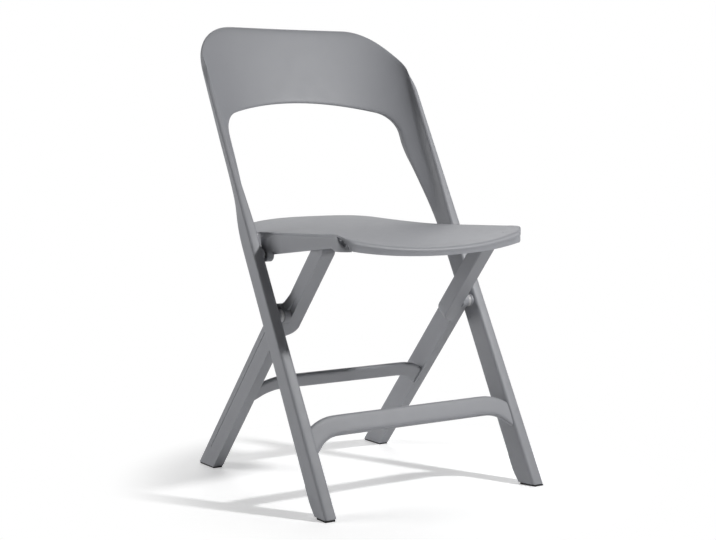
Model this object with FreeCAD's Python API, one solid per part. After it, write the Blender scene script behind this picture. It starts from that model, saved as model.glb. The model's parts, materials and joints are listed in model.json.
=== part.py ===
import FreeCAD, Part
import math
import os

V = FreeCAD.Vector

# A moulded folding chair, in millimetres. The front is -Y and +X is the sitter's left.
# While it is modelled, y is 0 at the front feet's front edge. The last step centres it.

# Overall form
WIDTH = 458.0               # over the outer faces of the front legs
HEIGHT = 817.0              # floor to the top of the back
SEAT_HEIGHT = 454.0         # floor to the middle of the seat
FRONT_LEAN = 28.85          # degrees from upright, front legs and sides of the back
REAR_LEAN = 40.36           # degrees from upright, rear legs
CLEAR = 0.3                 # gap between faces that move past each other
RUNNING = 0.06              # radial gap of a pin in a bore that turns on it

# Front legs, as cut by a level plane
LEG_FRONT = 20.0            # width of the front face
LEG_REAR = 30.0             # width of the rear face: the inner face slants
LEG_DEPTH = 37.0            # front to rear
LEG_CHAMFER = 3.0           # outer rear edge
LEG_TAPER_START = 24.0      # the leg begins to turn into the back this far below the seat
FOOT_TAPER = 5.0            # how far the rear face draws in at the foot
FOOT_TAPER_TOP = 20.0       # height at which it begins to

# Back shell
BACK_BAND = 141.0           # top of the back down to the crown of the opening
BACK_DIP_LOW = 88.0         # how far its middle lies behind its sides, at the neck
BACK_DIP_TOP = 50.0         # the same at the top
BACK_RIM_LOW = 13.0         # width of the side rims at the neck
BACK_RIM_TOP = 7.0          # the same at the top
BACK_WALL = 10.0            # thickness in the middle
BACK_CORNER = 105.0         # radius of the top corners
OPENING_RISE = 26.0         # crown of the opening above its shoulders
OPENING_CORNER = 42.0       # radius of the opening's upper corners
NECK_WIDTH = 42.0           # from the side to the opening, where the legs join the shell
NECK_BELOW = 50.0           # the legs join the shell this far below the shoulders

# Rear legs and hinge arms
LEG_GAP = 2.0               # between the front legs and the rear legs
REAR_LEG_WIDTH = 20.0
REAR_LEG_DEPTH = 55.0       # front to rear on a level plane
REAR_FOOT_FRONT = 444.0     # front edge of the rear feet behind that of the front feet
TONGUE = 13.5               # thickness of the leg beside the arm
TONGUE_END = 16.0           # centre of the tongue's round end, below the crossing
ARM_WIDTH = 22.5
ARM_DEPTH = 38.0            # front to rear on a level plane
ARM_SEAM = 48.0             # the arm's lower end, below the crossing
ARM_SLANT = 15.0            # height of the slant from the arm's inner face to the leg
ARM_SLANT_ROUND = 24.0      # radius at the top of the slant
PANEL_EDGE = 11.0           # rear edge strip on the rear legs' outer faces
PANEL_GROOVE = 1.2          # width of the groove beside it
PANEL_GROOVE_DEPTH = 0.8
PANEL_FOOT = 34.0           # height at which the groove starts

# Stretchers: flat bands whose ends bend down into the legs
BAND_THICK = 10.0
BAND_BEND = 75.0            # radius of the bends at the middle of the band
BAND_TURN = 46.0            # degrees
BAND_SOCKET = 7.0           # length of each end inside its leg
BAND_SET_BACK = 2.5         # behind the legs' front faces
FRONT_BAND_HEIGHT = 36.0
FRONT_BAND_LEVEL = 141.0    # height of its middle
REAR_BAND_HEIGHT = 33.0
REAR_BAND_LEVEL = 172.0

# Pivots
PIN_R = 5.0
PIN_BLIND = 8.0             # wall left outside a blind bore in the front legs
ARM_BLIND = 5.0             # wall left inside a blind bore in the arms
BOSS_R = 12.0
HUB_R = 12.0                # round hub of the rear legs on the crossing pins
CROSS_FORWARD = 11.0        # the crossing pins, in front of the rear legs' middle line
CROSS_BUSH_R = 11.0
CROSS_BUSH = 6.0            # from the rear legs to the bosses of the front legs
SEAT_BUSH_R = 8.0
SEAT_PIVOT_BELOW = 40.0     # below the seat's edge
LUG_R = 12.0
LUG_GAP = 1.5               # between the arms and the seat's lugs
LUG_THICK = 8.0

# Screws that hold the arms
SCREW_R = 4.0
SCREW_LENGTH = 26.0
SCREW_BELOW = 33.0          # below the crossing

# Feet
SOLE = 3.0
SOLE_INSET = 1.0
SPIGOT_SIDE = 9.0           # the soles' square spigots
SPIGOT = 14.0

# Seat
SEAT_FRONT_CORNER = 12.0    # front corners behind the front feet's front edge
SEAT_FRONT_BOW = 20.0       # how far the middle of the front edge stands forward
SEAT_LENGTH = 374.0         # between the corners
SEAT_REAR_BOW = 14.0
SEAT_FRONT_ROUND = 20.0
SEAT_REAR_ROUND = 58.0
SEAT_SHELL = 6.0
SEAT_LIP = 14.0             # thickness of the front edge
SEAT_FULL = (2.0, 1.3)      # power of the crown's fall to the sides at the front, and its growth to the rear
SEAT_QUARTER = 0.62         # place across the half seat where that fall is set
RIB_DROP = 9.0              # ribs below the shell
RIB_WALL = 4.0
RIB_INSET = 26.0            # ribs end this far inside the outline
RIB_PITCH = 78.0
SIDE_WALL = 4.5
WALL_FRONT = 4.0            # the side walls begin this far in front of the front corners
WALL_NOSE = 2.5             # their lower edge there, below the pads
WALL_REAR = 38.0            # their rear end behind the seat's pivot
WALL_REAR_RISE = 18.0       # and above it
PAD_BELOW = 9.0             # the flat pads that lie on the shoes, below the seat's edge
PAD_LENGTH = 46.0
SHOE = 4.0                  # thickness of the shoes

# The crown across the seat, front to rear: place along its length, rise of its sides and of its middle
SEAT_LINES = (
    (-0.065, -5.0, -20.5),
    (0.0, -0.2, -18.5),
    (0.05, 3.2, -15.0),
    (0.21, 3.2, -9.5),
    (0.50, -1.0, -1.0),
    (0.77, -5.2, 6.5),
    (1.05, -10.0, 11.5),
)

HALF = WIDTH / 2
LEAN_SLOPE = math.tan(math.radians(FRONT_LEAN))
REAR_SLOPE = math.tan(math.radians(REAR_LEAN))
REACH = 300.0               # how far a cutter runs past what it cuts

# Heights
OPENING_TOP = HEIGHT - BACK_BAND
OPENING_SHOULDER = OPENING_TOP - OPENING_RISE
NECK_HEIGHT = OPENING_SHOULDER - NECK_BELOW
LEG_STRAIGHT = SEAT_HEIGHT - LEG_TAPER_START
SEAT_PIVOT_Z = SEAT_HEIGHT - SEAT_PIVOT_BELOW
PAD_Z = SEAT_HEIGHT - PAD_BELOW

# Places across the chair, from the outside in
LEG_INSIDE = HALF - max(LEG_FRONT, LEG_REAR)
LEG_MIDDLE = HALF - (LEG_FRONT + LEG_REAR) / 4
NECK_INSIDE = HALF - NECK_WIDTH
REAR_HALF = LEG_INSIDE - LEG_GAP
REAR_INSIDE = REAR_HALF - REAR_LEG_WIDTH
BOSS_FACE = REAR_HALF + CROSS_BUSH
ARM_OUTSIDE = REAR_HALF - TONGUE
ARM_INSIDE = ARM_OUTSIDE - ARM_WIDTH
LUG_INSIDE = ARM_OUTSIDE + LUG_GAP
SEAT_HALF = LUG_INSIDE + SIDE_WALL
SEAT_REAR_CORNER = SEAT_FRONT_CORNER + SEAT_LENGTH


def front_middle(z):
    """y of the front legs' middle line at height z."""
    return LEAN_SLOPE * z + LEG_DEPTH / 2


# The crossing lies where the middle lines of the two legs meet
REAR_MIDDLE = REAR_FOOT_FRONT + REAR_LEG_DEPTH / 2
CROSS_Z = (REAR_MIDDLE - LEG_DEPTH / 2) / (LEAN_SLOPE + REAR_SLOPE)
CROSS_Y = front_middle(CROSS_Z)
CROSS = V(0, CROSS_Y, CROSS_Z)
SEAT_PIVOT_Y = front_middle(SEAT_PIVOT_Z)

# Directions down a front leg, down a rear leg and across that to the rear
FRONT_DOWN = V(0, -math.sin(math.radians(FRONT_LEAN)), -math.cos(math.radians(FRONT_LEAN)))
REAR_DOWN = V(0, math.sin(math.radians(REAR_LEAN)), -math.cos(math.radians(REAR_LEAN)))
REAR_BACK = V(0, math.cos(math.radians(REAR_LEAN)), math.sin(math.radians(REAR_LEAN)))
REAR_THICK = REAR_LEG_DEPTH * math.cos(math.radians(REAR_LEAN))
ARM_THICK = ARM_DEPTH * math.cos(math.radians(REAR_LEAN))

# The crossing pins lie on the front legs' middle line
CROSS_PIN = CROSS - FRONT_DOWN * (CROSS_FORWARD / FRONT_DOWN.dot(REAR_BACK))

# The arm's round top, with its shoe, ends just below the seat's pads
ARM_TOP_R = ARM_THICK / 2
ARM_TOP_Z = PAD_Z - CLEAR - ARM_TOP_R
ARM_MIDDLE = (ARM_THICK - REAR_THICK) / 2
ARM_RISE = (ARM_TOP_Z - CROSS_Z - ARM_MIDDLE * REAR_BACK.z) / -REAR_DOWN.z
ARM_TOP = CROSS - REAR_DOWN * ARM_RISE + REAR_BACK * ARM_MIDDLE


def polygon(points):
    return Part.makePolygon(list(points) + [points[0]])


def prism(points, direction):
    return Part.Face(polygon(points)).extrude(direction)


def joined(edges):
    return Part.Wire(Part.__sortEdges__(edges))


def mirrored(shape):
    return shape.mirror(V(0, 0, 0), V(1, 0, 0))


def rod(radius, x0, x1, y, z):
    """Cylinder along X."""
    return Part.makeCylinder(radius, x1 - x0, V(x0, y, z), V(1, 0, 0))


def spigot(x, y):
    """A square spigot that goes up from a sole into its leg."""
    half = SPIGOT_SIDE / 2
    return Part.makeBox(SPIGOT_SIDE, SPIGOT_SIDE, SPIGOT, V(x - half, y - half, SOLE))


def ellipse_y(x, half_width, depth):
    return depth * math.sqrt(1 - (x / half_width) ** 2)


def ellipse_x(y, half_width, depth):
    return half_width * math.sqrt(1 - (y / depth) ** 2)


def leg_section(z, depth=LEG_DEPTH):
    """The straight leg's outline at height z, from its front outer corner inwards."""
    rear_inside = HALF - LEG_REAR
    middle_inside = HALF - (LEG_FRONT + LEG_REAR) / 2
    outline = (
        (HALF, 0),
        (HALF - LEG_FRONT, 0),
        (middle_inside, depth / 2),
        (rear_inside, depth),
        (rear_inside + LEG_REAR / 2, depth),
        (HALF - LEG_CHAMFER, depth),
        (HALF, depth - LEG_CHAMFER),
    )
    return polygon([V(x, y + LEAN_SLOPE * z, z) for x, y in outline])


def neck_section():
    """The leg's outline where it has become the rim of the back, on the shell's two ellipses."""
    inner = HALF - BACK_RIM_LOW
    outer_depth = BACK_DIP_LOW + BACK_WALL
    inner_end = ellipse_y(NECK_INSIDE, inner, BACK_DIP_LOW)
    outer_end = ellipse_y(NECK_INSIDE, HALF, outer_depth)
    inner_half = inner_end / 2
    outer_far = outer_end * 2 / 3
    outer_near = outer_end / 6
    outline = (
        (HALF, 0),
        (inner, 0),
        (ellipse_x(inner_half, inner, BACK_DIP_LOW), inner_half),
        (NECK_INSIDE, inner_end),
        (NECK_INSIDE, outer_end),
        (ellipse_x(outer_far, HALF, outer_depth), outer_far),
        (ellipse_x(outer_near, HALF, outer_depth), outer_near),
    )
    return polygon([V(x, y + LEAN_SLOPE * NECK_HEIGHT, NECK_HEIGHT) for x, y in outline])


def half_ellipse(half_width, depth, y, z):
    """The curve of the back seen from above, from side to side, as two quarters."""
    ellipse = Part.Ellipse(V(half_width, y, z), V(0, y + depth, z), V(0, y, z))
    return [
        Part.ArcOfEllipse(ellipse, start, start + math.pi / 2).toShape()
        for start in (0.0, math.pi / 2)
    ]


def shell_section(z, dip, rim):
    """The back's crescent at height z."""
    y = LEAN_SLOPE * z
    inner = HALF - rim
    rims = [Part.makeLine(V(s * inner, y, z), V(s * HALF, y, z)) for s in (-1, 1)]
    return joined(rims + half_ellipse(HALF, dip + BACK_WALL, y, z) + half_ellipse(inner, dip, y, z))


def corner_trim(side):
    """What is cut away outside one rounded top corner of the back, seen from the front."""
    arc_from = HEIGHT - BACK_CORNER
    middle = HALF - BACK_CORNER
    bend = BACK_CORNER * math.sqrt(0.5)
    path = [
        V(side * middle, 0, HEIGHT),
        V(side * middle, 0, HEIGHT + REACH),
        V(side * (HALF + REACH), 0, HEIGHT + REACH),
        V(side * (HALF + REACH), 0, arc_from),
        V(side * HALF, 0, arc_from),
    ]
    arc = Part.Arc(path[-1], V(side * (middle + bend), 0, arc_from + bend), path[0]).toShape()
    lines = [Part.makeLine(a, b) for a, b in zip(path, path[1:])]
    return Part.Face(joined(lines + [arc])).extrude(V(0, HEIGHT, 0))


def opening_trim():
    """The opening under the back: an arch with rounded shoulders."""
    path = [
        V(-NECK_INSIDE, 0, OPENING_SHOULDER),
        V(-NECK_INSIDE, 0, NECK_HEIGHT - REACH),
        V(NECK_INSIDE, 0, NECK_HEIGHT - REACH),
        V(NECK_INSIDE, 0, OPENING_SHOULDER),
    ]
    crown = Part.Arc(path[0], V(0, 0, OPENING_TOP), path[-1]).toShape()
    lines = [Part.makeLine(a, b) for a, b in zip(path, path[1:])]
    block = Part.Face(joined(lines + [crown])).extrude(V(0, HEIGHT, 0))
    shoulders = [
        e for e in block.Edges
        if e.BoundBox.ZLength < CLEAR and abs(e.CenterOfMass.z - OPENING_SHOULDER) < CLEAR
    ]
    return block.makeFillet(OPENING_CORNER, shoulders)


def back_shell():
    """The wrapped back: a crescent lofted upwards, then trimmed to its outline."""
    shell = Part.makeLoft([
        shell_section(NECK_HEIGHT, BACK_DIP_LOW, BACK_RIM_LOW),
        shell_section(HEIGHT, BACK_DIP_TOP, BACK_RIM_TOP),
    ], True, True)
    return shell.cut([corner_trim(-1), corner_trim(1), opening_trim()])


def front_leg():
    """The left front leg with its flat bosses and its bores."""
    leg = Part.makeLoft([
        leg_section(SOLE, LEG_DEPTH - FOOT_TAPER),
        leg_section(FOOT_TAPER_TOP),
        leg_section(LEG_STRAIGHT),
        neck_section(),
    ], True, True)
    for y, z in ((CROSS_PIN.y, CROSS_PIN.z), (SEAT_PIVOT_Y, SEAT_PIVOT_Z)):
        leg = leg.fuse(rod(BOSS_R, BOSS_FACE, LEG_MIDDLE, y, z))
        leg = leg.cut(rod(BOSS_R, BOSS_FACE - REACH, BOSS_FACE, y, z))
        leg = leg.cut(rod(PIN_R, BOSS_FACE, HALF - PIN_BLIND, y, z))
    return leg.cut(spigot(LEG_MIDDLE, front_middle(SOLE)))


def back_frame(stretcher):
    leg = front_leg()
    frame = back_shell().fuse([leg, mirrored(leg)])
    return frame.cut(stretcher).removeSplitter()


def band(leg_inside, height, level, lean, front_y):
    """A stretcher: a flat band in the plane of its legs, whose ends bend down into them.

    The legs lean back by lean degrees, or forward where it is negative."""
    rise = V(0, math.sin(math.radians(lean)), math.cos(math.radians(lean)))
    back = V(0, math.cos(math.radians(lean)), -math.sin(math.radians(lean)))
    centre = V(0, front_y, 0) + rise * (level / rise.z) + back * (BAND_SET_BACK + BAND_THICK / 2)
    turn = math.radians(BAND_TURN)

    def on_bend(angle):
        x = leg_inside - BAND_BEND * (math.sin(turn) - math.sin(angle))
        return x, BAND_BEND * (1 - math.cos(angle))

    run, _ = on_bend(0)
    middle_x, middle_drop = on_bend(turn / 2)
    end_x, end_drop = on_bend(turn)
    tail = height + BAND_SOCKET
    tail_x = end_x + tail * math.cos(turn)
    tail_drop = end_drop + tail * math.sin(turn)

    def at(x, down):
        return centre + V(x, 0, 0) - rise * down

    path = Part.Wire([
        Part.makeLine(at(-tail_x, tail_drop), at(-end_x, end_drop)),
        Part.Arc(at(-end_x, end_drop), at(-middle_x, middle_drop), at(-run, 0)).toShape(),
        Part.makeLine(at(-run, 0), at(run, 0)),
        Part.Arc(at(run, 0), at(middle_x, middle_drop), at(end_x, end_drop)).toShape(),
        Part.makeLine(at(end_x, end_drop), at(tail_x, tail_drop)),
    ])
    across = V(-math.sin(turn), 0, 0) + rise * math.cos(turn)
    section = polygon([
        at(-tail_x, tail_drop) + across * (a * height / 2) + back * (b * BAND_THICK / 2)
        for a, b in ((-1, -1), (1, -1), (1, 1), (-1, 1))
    ])
    whole = path.makePipeShell([section], True, False)
    end = leg_inside + BAND_SOCKET
    return whole.common(Part.makeBox(2 * end, 2 * REACH, HEIGHT, V(-end, centre.y - REACH, 0)))


def rear_middle(z):
    """y of the rear legs' middle line at height z."""
    return REAR_MIDDLE - REAR_SLOPE * z


def on_rear(x, down, back):
    """A point given along and across the rear leg from the crossing."""
    return CROSS + REAR_DOWN * down + REAR_BACK * back + V(x, 0, 0)


def rear_prism(points, x0, x1):
    """Prism along X with an outline of (down, back) points."""
    return prism([on_rear(x0, down, back) for down, back in points], V(x1 - x0, 0, 0))


def rear_leg():
    """The left rear leg: full width below the seam, a round tongue with a hub beside the arm above it."""
    half = REAR_THICK / 2
    foot = CROSS_Z / -REAR_DOWN.z + REAR_THICK
    low = rear_prism(((ARM_SEAM, -half), (foot, -half), (foot, half), (ARM_SEAM, half)),
                     REAR_INSIDE, REAR_HALF)
    tongue = rear_prism(((TONGUE_END, -half), (ARM_SEAM, -half), (ARM_SEAM, half), (TONGUE_END, half)),
                        ARM_OUTSIDE, REAR_HALF)
    end = on_rear(0, TONGUE_END, 0)
    round_end = rod(half, ARM_OUTSIDE, REAR_HALF, end.y, end.z)
    hub = rod(HUB_R, ARM_OUTSIDE, REAR_HALF, CROSS_PIN.y, CROSS_PIN.z)
    leg = low.fuse([tongue, round_end, hub])
    groove_at = half - PANEL_EDGE
    groove_end = (CROSS_Z - PANEL_FOOT) / -REAR_DOWN.z
    groove = rear_prism((
        (ARM_SEAM, groove_at - PANEL_GROOVE),
        (groove_end, groove_at - PANEL_GROOVE),
        (groove_end, groove_at),
        (ARM_SEAM, groove_at),
    ), REAR_HALF - PANEL_GROOVE_DEPTH, HALF)
    floor = Part.makeBox(REACH, 2 * REACH, REACH, V(0, REAR_FOOT_FRONT - REACH, SOLE - REACH))
    bore = rod(PIN_R + RUNNING, 0, HALF, CROSS_PIN.y, CROSS_PIN.z)
    hole = spigot(REAR_HALF - REAR_LEG_WIDTH / 2, rear_middle(SOLE))
    return leg.cut([groove, floor, bore, hole, arm_screw()]).removeSplitter()


def hinge_arm():
    """The left arm, from its slanted lower end on the leg's tongue to its round nose under the seat."""
    front = -REAR_THICK / 2
    slant_top = ARM_SEAM - ARM_SLANT
    outline = (
        (ARM_INSIDE, -ARM_RISE),
        (ARM_OUTSIDE, -ARM_RISE),
        (ARM_OUTSIDE, ARM_SEAM),
        (REAR_INSIDE, ARM_SEAM),
        (ARM_INSIDE, slant_top),
    )
    bar = prism([on_rear(x, down, front) for x, down in outline], REAR_BACK * ARM_THICK)
    bend = on_rear(ARM_INSIDE, slant_top, front + ARM_THICK / 2)
    bends = [e for e in bar.Edges if (e.CenterOfMass - bend).Length < CLEAR]
    arm = bar.makeFillet(ARM_SLANT_ROUND, bends)
    arm = arm.fuse(rod(ARM_TOP_R - SHOE, ARM_INSIDE, ARM_OUTSIDE, ARM_TOP.y, ARM_TOP.z))
    bore = rod(PIN_R + RUNNING, ARM_INSIDE + ARM_BLIND, HALF, CROSS_PIN.y, CROSS_PIN.z)
    return arm.cut([bore, arm_screw()]).removeSplitter()


def arm_screw():
    """The headless screw of the left arm, driven from the leg's outer face."""
    at = on_rear(0, SCREW_BELOW, ARM_MIDDLE)
    return rod(SCREW_R, REAR_HALF - SCREW_LENGTH, REAR_HALF, at.y, at.z)


def rest_shoe():
    """A wear shoe wrapped over the arm's nose, flush with its faces."""
    outer = ARM_TOP_R
    ring = rod(outer, ARM_INSIDE, ARM_OUTSIDE, ARM_TOP.y, ARM_TOP.z)
    ring = ring.cut(rod(outer - SHOE, ARM_INSIDE, ARM_OUTSIDE, ARM_TOP.y, ARM_TOP.z))
    upper = Part.makeBox(ARM_WIDTH, 2 * outer, 2 * outer, V(ARM_INSIDE, ARM_TOP.y - outer, ARM_TOP.z))
    upper.rotate(ARM_TOP, V(1, 0, 0), REAR_LEAN)
    return ring.common(upper)


def sole(outline, x, y):
    """A sole drawn in a little from the leg's outline, with a spigot that goes up into the leg."""
    plate = Part.Face(outline.makeOffset2D(-SOLE_INSET)).extrude(V(0, 0, SOLE))
    return plate.fuse(spigot(x, y)).removeSplitter()


def front_foot():
    outline = leg_section(SOLE, LEG_DEPTH - FOOT_TAPER)
    outline.translate(V(0, 0, -SOLE))
    return sole(outline, LEG_MIDDLE, front_middle(SOLE))


def rear_foot():
    y0 = rear_middle(SOLE) - REAR_LEG_DEPTH / 2
    y1 = rear_middle(SOLE) + REAR_LEG_DEPTH / 2
    corners = ((REAR_INSIDE, y0), (REAR_HALF, y0), (REAR_HALF, y1), (REAR_INSIDE, y1))
    outline = polygon([V(x, y, 0) for x, y in corners])
    return sole(outline, REAR_HALF - REAR_LEG_WIDTH / 2, rear_middle(SOLE))


def crown_line(place, side, middle, drop):
    """One line across the seat, drop below its upper face."""
    wide = SEAT_HALF + SIDE_WALL
    y = SEAT_FRONT_CORNER + place * SEAT_LENGTH
    power = SEAT_FULL[0] + SEAT_FULL[1] * max(place, 0)
    points = [
        V(share * wide, y, SEAT_HEIGHT + middle + (side - middle) * abs(share) ** power - drop)
        for share in (-1, -SEAT_QUARTER, 0, SEAT_QUARTER, 1)
    ]
    curve = Part.BSplineCurve()
    curve.interpolate(points)
    return curve.toShape()


def seat_slab(below, front_depth, depth):
    """A slab that follows the seat's crown from a little below it down to the given depths."""
    sections = []
    for number, line in enumerate(SEAT_LINES):
        upper = crown_line(*line, below)
        lower = crown_line(*line, depth if number > 1 else front_depth)
        ends = [
            Part.makeLine(upper.valueAt(t), lower.valueAt(t))
            for t in (upper.FirstParameter, upper.LastParameter)
        ]
        sections.append(joined([upper, lower] + ends))
    return Part.makeLoft(sections, True, True)


def seat_outline(inset):
    """A tall prism of the seat's outline from above, drawn in by inset."""
    front = SEAT_FRONT_CORNER + inset
    rear = SEAT_REAR_CORNER - inset
    base = SEAT_HEIGHT - REACH / 2
    corners = (
        V(inset - SEAT_HALF, front, base),
        V(SEAT_HALF - inset, front, base),
        V(SEAT_HALF - inset, rear, base),
        V(inset - SEAT_HALF, rear, base),
    )
    block = Part.Face(joined([
        Part.Arc(corners[0], V(0, front - SEAT_FRONT_BOW, base), corners[1]).toShape(),
        Part.makeLine(corners[1], corners[2]),
        Part.Arc(corners[2], V(0, rear + SEAT_REAR_BOW, base), corners[3]).toShape(),
        Part.makeLine(corners[3], corners[0]),
    ])).extrude(V(0, 0, REACH))

    def uprights(y):
        return [
            e for e in block.Edges
            if e.BoundBox.ZLength > REACH / 2 and abs(e.CenterOfMass.y - y) < CLEAR
        ]

    block = block.makeFillet(SEAT_FRONT_ROUND, uprights(front))
    return block.makeFillet(SEAT_REAR_ROUND - inset, uprights(rear))


def seat_ribs():
    """Ribs under the shell, from side to side and from front to rear, between the arms."""
    base = SEAT_HEIGHT - REACH / 2
    half = ARM_INSIDE - LUG_GAP
    rows = int(SEAT_LENGTH // RIB_PITCH)
    columns = int(half // RIB_PITCH)
    bars = [
        Part.makeBox(2 * half, RIB_WALL, REACH,
                     V(-half, SEAT_FRONT_CORNER + RIB_PITCH * (k + 0.5) - RIB_WALL / 2, base))
        for k in range(rows)
    ]
    bars += [
        Part.makeBox(RIB_WALL, 2 * SEAT_LENGTH, REACH,
                     V(RIB_PITCH * k - RIB_WALL / 2, SEAT_FRONT_CORNER - SEAT_LENGTH / 2, base))
        for k in range(-columns, columns + 1)
    ]
    grid = bars[0].fuse(bars[1:])
    under = seat_slab(SEAT_SHELL / 2, SEAT_LIP + RIB_DROP, SEAT_SHELL + RIB_DROP)
    return grid.common(under).common(seat_outline(RIB_INSET))


def seat_side():
    """The left side wall, which follows the front corner and deepens to its pivot lug, and the shoe's pad."""
    y, z = SEAT_PIVOT_Y, SEAT_PIVOT_Z
    nose = SEAT_FRONT_CORNER - WALL_FRONT
    top = SEAT_HEIGHT + SEAT_SHELL
    profile = (
        (nose, top),
        (nose, PAD_Z - WALL_NOSE),
        (y - LUG_R, z),
        (y + LUG_R, z),
        (y + WALL_REAR, z + WALL_REAR_RISE),
        (y + WALL_REAR, top),
    )
    start = SEAT_HALF - SEAT_FRONT_ROUND
    wall = prism([V(start, a, b) for a, b in profile], V(SEAT_FRONT_ROUND, 0, 0))
    wall = wall.common(seat_outline(0).cut(seat_outline(SIDE_WALL)))
    lug = rod(LUG_R, LUG_INSIDE, LUG_INSIDE + LUG_THICK, y, z)
    cheek = Part.makeBox(LUG_THICK, 2 * LUG_R, PAD_Z - SEAT_SHELL - z, V(LUG_INSIDE, y - LUG_R, z))
    pad = Part.makeBox(ARM_WIDTH, PAD_LENGTH, PAD_BELOW, V(ARM_INSIDE, ARM_TOP.y - PAD_LENGTH / 2, PAD_Z))
    under = seat_slab(SEAT_SHELL / 2, REACH / 2, REACH / 2)
    return wall.fuse([lug, cheek, pad]).common(under)


def seat():
    shell = seat_slab(0, SEAT_LIP, SEAT_SHELL).common(seat_outline(0))
    side = seat_side()
    body = shell.fuse([seat_ribs(), side, mirrored(side)])
    bore = rod(PIN_R + RUNNING, ARM_OUTSIDE, HALF, SEAT_PIVOT_Y, SEAT_PIVOT_Z)
    return body.cut([bore, mirrored(bore)]).removeSplitter()


def cross_pin():
    return rod(PIN_R, ARM_INSIDE + ARM_BLIND + CLEAR, HALF - PIN_BLIND, CROSS_PIN.y, CROSS_PIN.z)


def seat_pin():
    return rod(PIN_R, LUG_INSIDE, HALF - PIN_BLIND, SEAT_PIVOT_Y, SEAT_PIVOT_Z)


def bush(radius, moving_face, y, z):
    """A spacer on a pin, from just off the face that turns against it to the leg's boss."""
    return rod(radius, moving_face + CLEAR, BOSS_FACE, y, z).cut(rod(PIN_R, moving_face, HALF, y, z))


def build():
    front_stretcher = band(HALF - LEG_FRONT, FRONT_BAND_HEIGHT, FRONT_BAND_LEVEL, FRONT_LEAN, 0)
    rear_stretcher = band(REAR_INSIDE, REAR_BAND_HEIGHT, REAR_BAND_LEVEL, -REAR_LEAN, REAR_FOOT_FRONT)
    screw = arm_screw()
    nodes = {
        "back_frame": back_frame(front_stretcher),
        "front_stretcher": front_stretcher,
        "rear_stretcher": rear_stretcher,
        "seat": seat(),
        "arm_screws": Part.makeCompound([screw, mirrored(screw)]),
    }
    left = {
        "cross_pin": cross_pin(),
        "cross_bush": bush(CROSS_BUSH_R, REAR_HALF, CROSS_PIN.y, CROSS_PIN.z),
        "seat_pin": seat_pin(),
        "seat_bush": bush(SEAT_BUSH_R, LUG_INSIDE + LUG_THICK, SEAT_PIVOT_Y, SEAT_PIVOT_Z),
        "front_foot": front_foot(),
        "rear_foot": rear_foot(),
        "rear_leg": rear_leg().cut(rear_stretcher),
        "hinge_arm": hinge_arm(),
        "rest_shoe": rest_shoe(),
    }
    for name, shape in left.items():
        nodes[name + "_left"] = shape
        nodes[name + "_right"] = mirrored(shape)
    return nodes


def main():
    nodes = build()
    box = Part.makeCompound(list(nodes.values())).optimalBoundingBox(False)
    shift = -(box.YMin + box.YMax) / 2
    os.makedirs("parts", exist_ok=True)
    for name, shape in nodes.items():
        shape.translate(V(0, shift, 0))
        shape.exportStep(os.path.join("parts", name + ".step"))
        print(name, len(shape.Solids), "solids", shape.isValid(), round(shape.Volume / 1000, 2), "cm3")
    print("size", round(box.XLength, 3), round(box.YLength, 3), round(box.ZLength, 3))
    print("shift", round(shift, 4), "crossing pins", round(CROSS_PIN.y + shift, 4), round(CROSS_PIN.z, 4))
    print("seat pivot", round(SEAT_PIVOT_Y + shift, 4), round(SEAT_PIVOT_Z, 4))


main()
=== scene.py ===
import json
import math

import bmesh
import bpy
from mathutils import Matrix, Vector


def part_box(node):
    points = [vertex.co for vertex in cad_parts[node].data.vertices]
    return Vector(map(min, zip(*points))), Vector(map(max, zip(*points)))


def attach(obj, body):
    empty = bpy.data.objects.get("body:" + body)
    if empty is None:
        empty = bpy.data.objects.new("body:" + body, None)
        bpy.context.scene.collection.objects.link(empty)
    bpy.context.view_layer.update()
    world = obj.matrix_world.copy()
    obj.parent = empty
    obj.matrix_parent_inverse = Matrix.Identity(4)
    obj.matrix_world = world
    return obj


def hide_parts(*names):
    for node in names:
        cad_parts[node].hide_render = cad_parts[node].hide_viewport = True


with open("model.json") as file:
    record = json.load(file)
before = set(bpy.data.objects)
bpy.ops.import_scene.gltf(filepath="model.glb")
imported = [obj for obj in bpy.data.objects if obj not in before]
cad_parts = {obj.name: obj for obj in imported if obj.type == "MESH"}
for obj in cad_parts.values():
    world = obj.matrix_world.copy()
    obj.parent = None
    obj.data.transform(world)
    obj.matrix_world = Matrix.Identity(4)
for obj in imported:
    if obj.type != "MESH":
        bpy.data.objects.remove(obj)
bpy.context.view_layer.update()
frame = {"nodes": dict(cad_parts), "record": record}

# A moulded folding chair. Shapes are drawn in millimetres, with y 0 at the front feet's front edge,
# and each finished piece is then set into the frame in metres.

MM = 0.001
FRONT_LEAN = math.radians(28.85)
REAR_LEAN = math.radians(40.36)
SLOPE = math.tan(FRONT_LEAN)

frame_low, frame_high = (Vector(corner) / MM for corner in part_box("back_frame"))
HALF = frame_high.x
TOP = frame_high.z
SOLE = frame_low.z
SHIFT = frame_low.y - SLOPE * SOLE
TO_FRAME = Matrix.Scale(MM, 4) @ Matrix.Translation((0, SHIFT, 0))


def pivot(name):
    """A joint's place, in the drawing's millimetres."""
    joint = next(j for j in frame["record"]["behaviour"]["joints"] if j["name"] == name)
    return Vector(joint["pos_m"]) / MM - Vector((0, SHIFT, 0))


CROSS_PIN = pivot("rear_leg_fold")
SEAT_PIVOT = pivot("seat_fold")

# Front legs and back
LEG_FRONT = 20.0                 # width of the front face
LEG_REAR = 30.0                  # width of the rear face
LEG_DEPTH = 37.0                 # front to rear on a level plane
LEG_STRAIGHT = 430.0             # height at which the leg begins to turn into the back
SOLE_RISES = (0.0, 0.8, 5.0)     # the leg's lowest sections, above the top of the sole
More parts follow.
